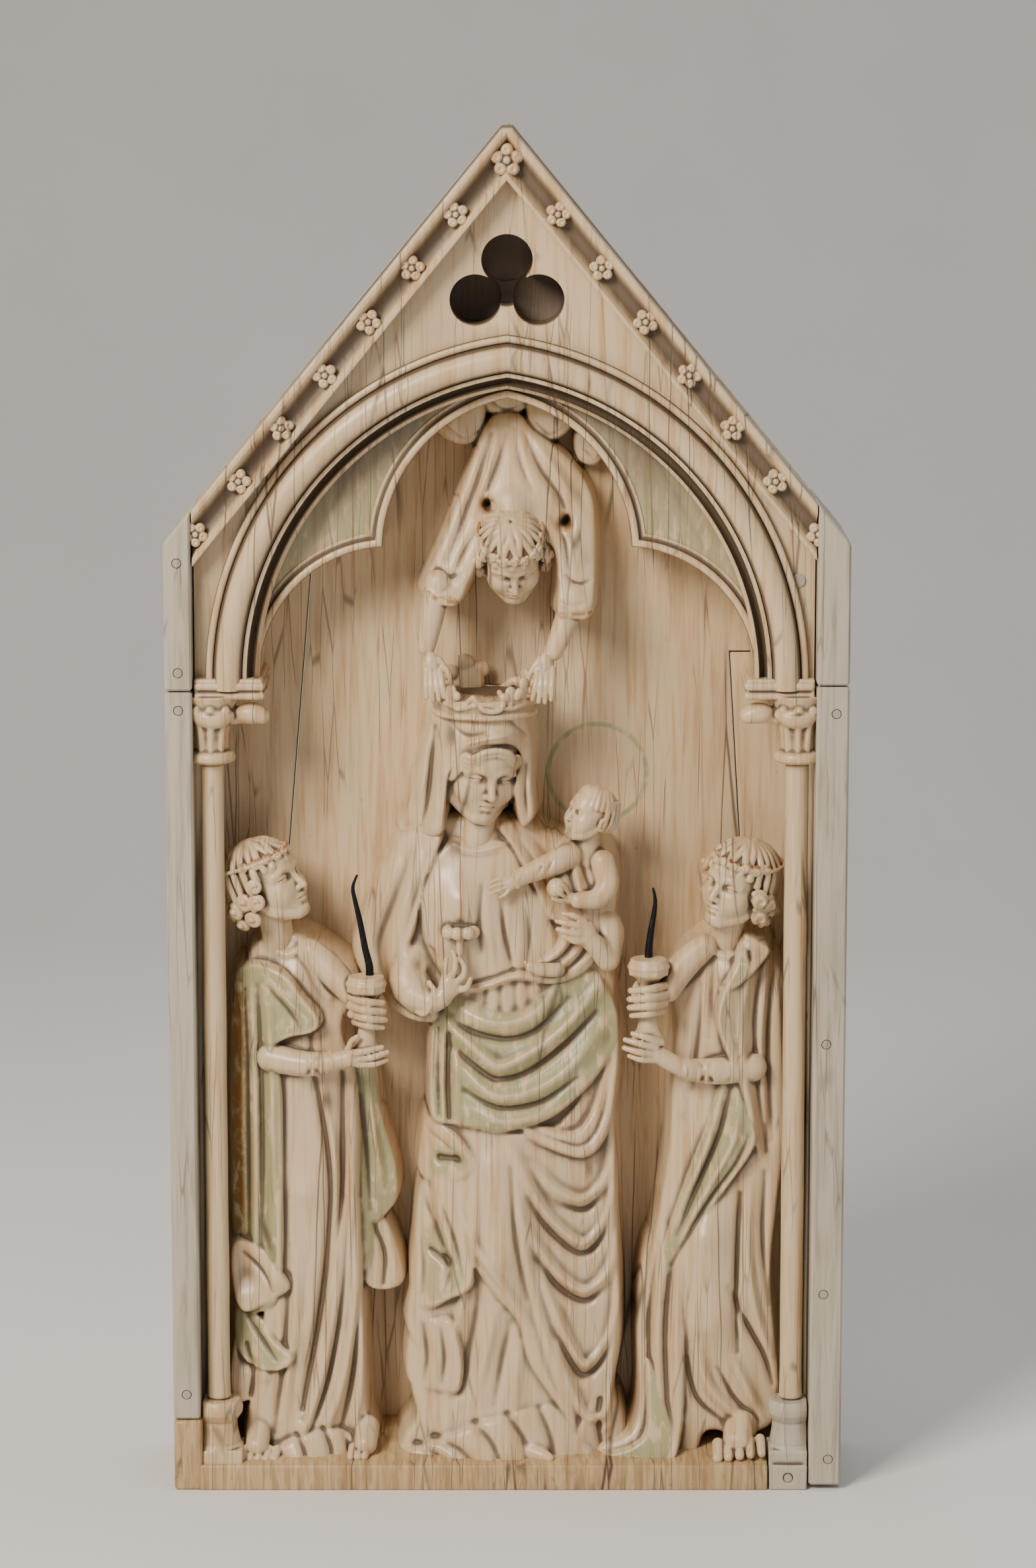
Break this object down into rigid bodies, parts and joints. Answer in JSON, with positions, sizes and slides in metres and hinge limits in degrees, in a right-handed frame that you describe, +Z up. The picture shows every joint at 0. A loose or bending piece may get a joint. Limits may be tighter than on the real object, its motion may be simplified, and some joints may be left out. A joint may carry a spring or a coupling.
{
  "type": "religious relief plaque",
  "caption": "Gabled upright ivory relief plaque: standing crowned mother and child between candle-bearing angels under a pointed arch.",
  "frame": {"origin": "middle of the flat underside's bounding box", "axes": "+Z up to the gable's tip, -Y out of the carved front, +X to the viewer's right"},
  "size_m": [0.126, 0.03, 0.2555],
  "materials": {
    "carved_ivory": "semi-polished, with darker dirt in the hollows and worn green, gold and brown paint",
    "strip_ivory": "greyer, duller ivory or bone with fine dark grain",
    "board_ivory": "satin, with upright cracks and worn paint",
    "peg_ivory": "dull end grain",
    "blackened_iron": "dull black"
  },
  "bodies": {
    "root": {"panel": "carved_ivory", "ground_board_left": "board_ivory", "ground_board_right": "board_ivory", "edge_strip_left_upper": "strip_ivory", "edge_strip_left_lower": "strip_ivory", "edge_strip_right_upper": "strip_ivory", "edge_strip_right_lower": "strip_ivory", "column_left": "carved_ivory", "column_right": "carved_ivory", "base_block_right": "strip_ivory", "peg_edge_strip_left_upper_1": "peg_ivory", "peg_edge_strip_left_upper_2": "peg_ivory", "peg_edge_strip_left_lower_1": "peg_ivory", "peg_edge_strip_left_lower_2": "peg_ivory", "peg_edge_strip_right_lower_1": "peg_ivory", "peg_edge_strip_right_lower_2": "peg_ivory", "peg_edge_strip_right_lower_3": "peg_ivory", "peg_edge_strip_right_lower_4": "peg_ivory", "peg_base_block_right_1": "peg_ivory", "spandrel_plug": "peg_ivory", "spike_left": "blackened_iron", "spike_right": "blackened_iron"}
  },
  "joints": []
}
